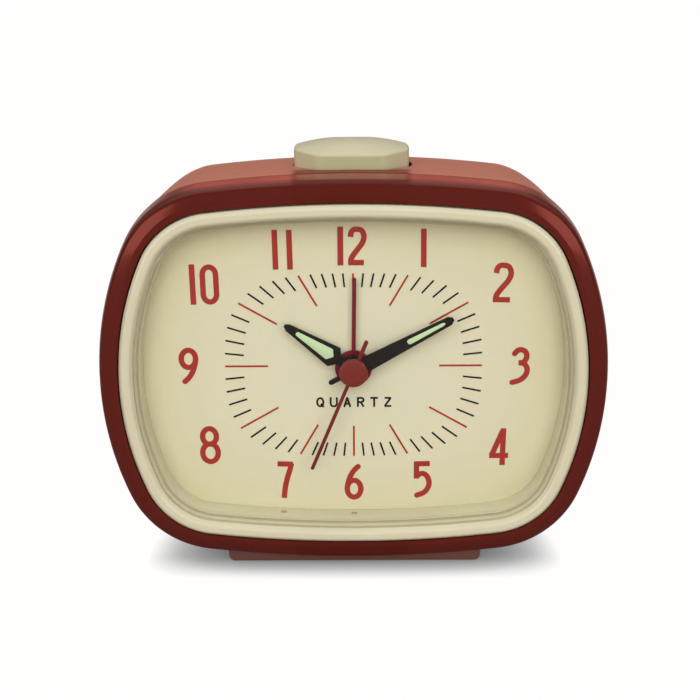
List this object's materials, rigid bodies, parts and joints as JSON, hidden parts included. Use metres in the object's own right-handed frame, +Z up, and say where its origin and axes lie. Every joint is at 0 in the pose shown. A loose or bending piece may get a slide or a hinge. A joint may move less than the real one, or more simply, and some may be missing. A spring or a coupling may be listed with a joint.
{
  "type": "alarm clock",
  "caption": "Compact battery quartz alarm clock with a rounded-rectangle case, domed lens, analogue dial with hour, minute, second and alarm hands, and a press button on top.",
  "frame": {"origin": "on the table, at the centre of the bounding box in plan", "axes": "+X to the right seen from the dial side, +Y from the dial towards the back, +Z up"},
  "size_m": [0.111, 0.05, 0.0922],
  "materials": {
    "case_red": "glossy moulded ABS, warm brick red",
    "bezel_cream": "semi-gloss moulded plastic, cream",
    "lens_clear": "clear polished acrylic",
    "dial_print": "matt printed dial plate, cream, darker towards the rim",
    "plinth_brown": "satin moulded plastic, brown red",
    "pad_rubber": "matt black rubber",
    "button_pale": "satin moulded plastic, pale grey cream",
    "hand_black": "satin black enamel on stamped brass",
    "hand_crimson": "crimson enamel on stamped brass",
    "boss_red": "satin moulded plastic, brick red",
    "lume_green": "matt luminous compound, pale green",
    "wheel_white": "natural white acetal",
    "brass": "turned brass",
    "steel": "plain zinc plated steel",
    "magnet_black": "moulded black plastic",
    "board_green": "green solder mask on laminate",
    "cell_wrap": "printed metal wrap, plain"
  },
  "bodies": {
    "case": {"front_frame": "case_red", "rear_shell": "case_red", "bezel_ring": "bezel_cream", "lens": "lens_clear", "dial_funnel": "bezel_cream", "dial": "dial_print", "plinth": "plinth_brown", "foot_pad_left": "pad_rubber", "foot_pad_right": "pad_rubber", "snooze_spring": "steel", "movement_front_plate": "wheel_white", "movement_back_case": "wheel_white", "stator": "steel", "coil": "brass", "circuit_board": "board_green", "quartz_crystal": "steel", "clock_chip": "magnet_black", "snooze_contact": "brass", "buzzer": "magnet_black", "battery": "cell_wrap", "battery_contact_plus": "steel", "battery_contact_minus": "steel", "case_screw_1": "steel", "case_screw_2": "steel", "case_screw_3": "steel", "case_screw_4": "steel", "movement_screw_1": "steel", "movement_screw_2": "steel"},
    "second_hand_arbor": {"second_hand": "hand_crimson", "second_hand_boss": "boss_red", "seconds_wheel": "wheel_white"},
    "rotor_body": {"rotor": "magnet_black"},
    "intermediate_body": {"intermediate_wheel": "wheel_white"},
    "third_body": {"third_wheel": "wheel_white"},
    "centre_body": {"centre_wheel": "brass"},
    "minute_hand_pipe": {"minute_hand": "hand_black", "minute_hand_lume": "lume_green", "cannon_pinion": "brass"},
    "hour_hand_pipe": {"hour_hand": "hand_black", "hour_hand_lume": "lume_green", "hour_wheel": "wheel_white"},
    "time_set_shaft": {"minute_wheel": "wheel_white", "time_set_knob": "case_red"},
    "alarm_hand_pipe": {"alarm_hand": "hand_crimson", "alarm_wheel": "wheel_white"},
    "alarm_set_shaft": {"alarm_set_pinion": "wheel_white", "alarm_set_knob": "case_red"},
    "snooze_plunger": {"snooze_button": "button_pale"},
    "alarm_slider": {"alarm_switch": "bezel_cream"},
    "door_body": {"battery_door": "case_red"}
  },
  "joints": [
    {"name": "second_hand_turn", "type": "hinge", "parent": "case", "child": "second_hand_arbor", "pos_m": [0, 0, 0.04485], "axis": [0, 1, 0], "continuous": true},
    {"name": "rotor_turn", "type": "hinge", "parent": "case", "child": "rotor_body", "pos_m": [0, 0, 0.03341], "axis": [0, 1, 0], "continuous": true},
    {"name": "intermediate_turn", "type": "hinge", "parent": "case", "child": "intermediate_body", "pos_m": [0, 0, 0.03869], "axis": [0, 1, 0], "continuous": true},
    {"name": "third_turn", "type": "hinge", "parent": "case", "child": "third_body", "pos_m": [0, 0, 0.05233], "axis": [0, 1, 0], "continuous": true},
    {"name": "centre_turn", "type": "hinge", "parent": "case", "child": "centre_body", "pos_m": [0, 0, 0.04485], "axis": [0, 1, 0], "continuous": true},
    {"name": "minute_hand_turn", "type": "hinge", "parent": "case", "child": "minute_hand_pipe", "pos_m": [0, 0, 0.04485], "axis": [0, 1, 0], "continuous": true},
    {"name": "hour_hand_turn", "type": "hinge", "parent": "case", "child": "hour_hand_pipe", "pos_m": [0, 0, 0.04485], "axis": [0, 1, 0], "continuous": true},
    {"name": "time_set_turn", "type": "hinge", "parent": "case", "child": "time_set_shaft", "pos_m": [-0.008, 0, 0.04485], "axis": [0, 1, 0], "continuous": true},
    {"name": "alarm_hand_turn", "type": "hinge", "parent": "case", "child": "alarm_hand_pipe", "pos_m": [0, 0, 0.04485], "axis": [0, 1, 0], "continuous": true},
    {"name": "alarm_set_turn", "type": "hinge", "parent": "case", "child": "alarm_set_shaft", "pos_m": [0.0096, 0, 0.04485], "axis": [0, 1, 0], "continuous": true},
    {"name": "snooze_press", "type": "slide", "parent": "case", "child": "snooze_plunger", "axis": [0, 0, -1], "range_m": [0, 0.0015], "stiffness_N_per_m": 400, "springref_m": -0.001, "deforming": ["snooze_spring"]},
    {"name": "alarm_switch_slide", "type": "slide", "parent": "case", "child": "alarm_slider", "axis": [0, 0, 1], "range_m": [0, 0.004]},
    {"name": "battery_door_open", "type": "hinge", "parent": "case", "child": "door_body", "pos_m": [0, 0.017, 0.0105], "axis": [-1, 0, 0], "range_deg": [0, 75]}
  ],
  "couplings": [
    {"joint": "rotor_turn", "follows": "second_hand_turn", "ratio": 30},
    {"joint": "intermediate_turn", "follows": "second_hand_turn", "ratio": -6},
    {"joint": "third_turn", "follows": "second_hand_turn", "ratio": -0.13333},
    {"joint": "centre_turn", "follows": "second_hand_turn", "ratio": 0.016667},
    {"joint": "hour_hand_turn", "follows": "minute_hand_turn", "ratio": 0.083333},
    {"joint": "time_set_turn", "follows": "minute_hand_turn", "ratio": -0.33333},
    {"joint": "alarm_set_turn", "follows": "alarm_hand_turn", "ratio": -3}
  ]
}
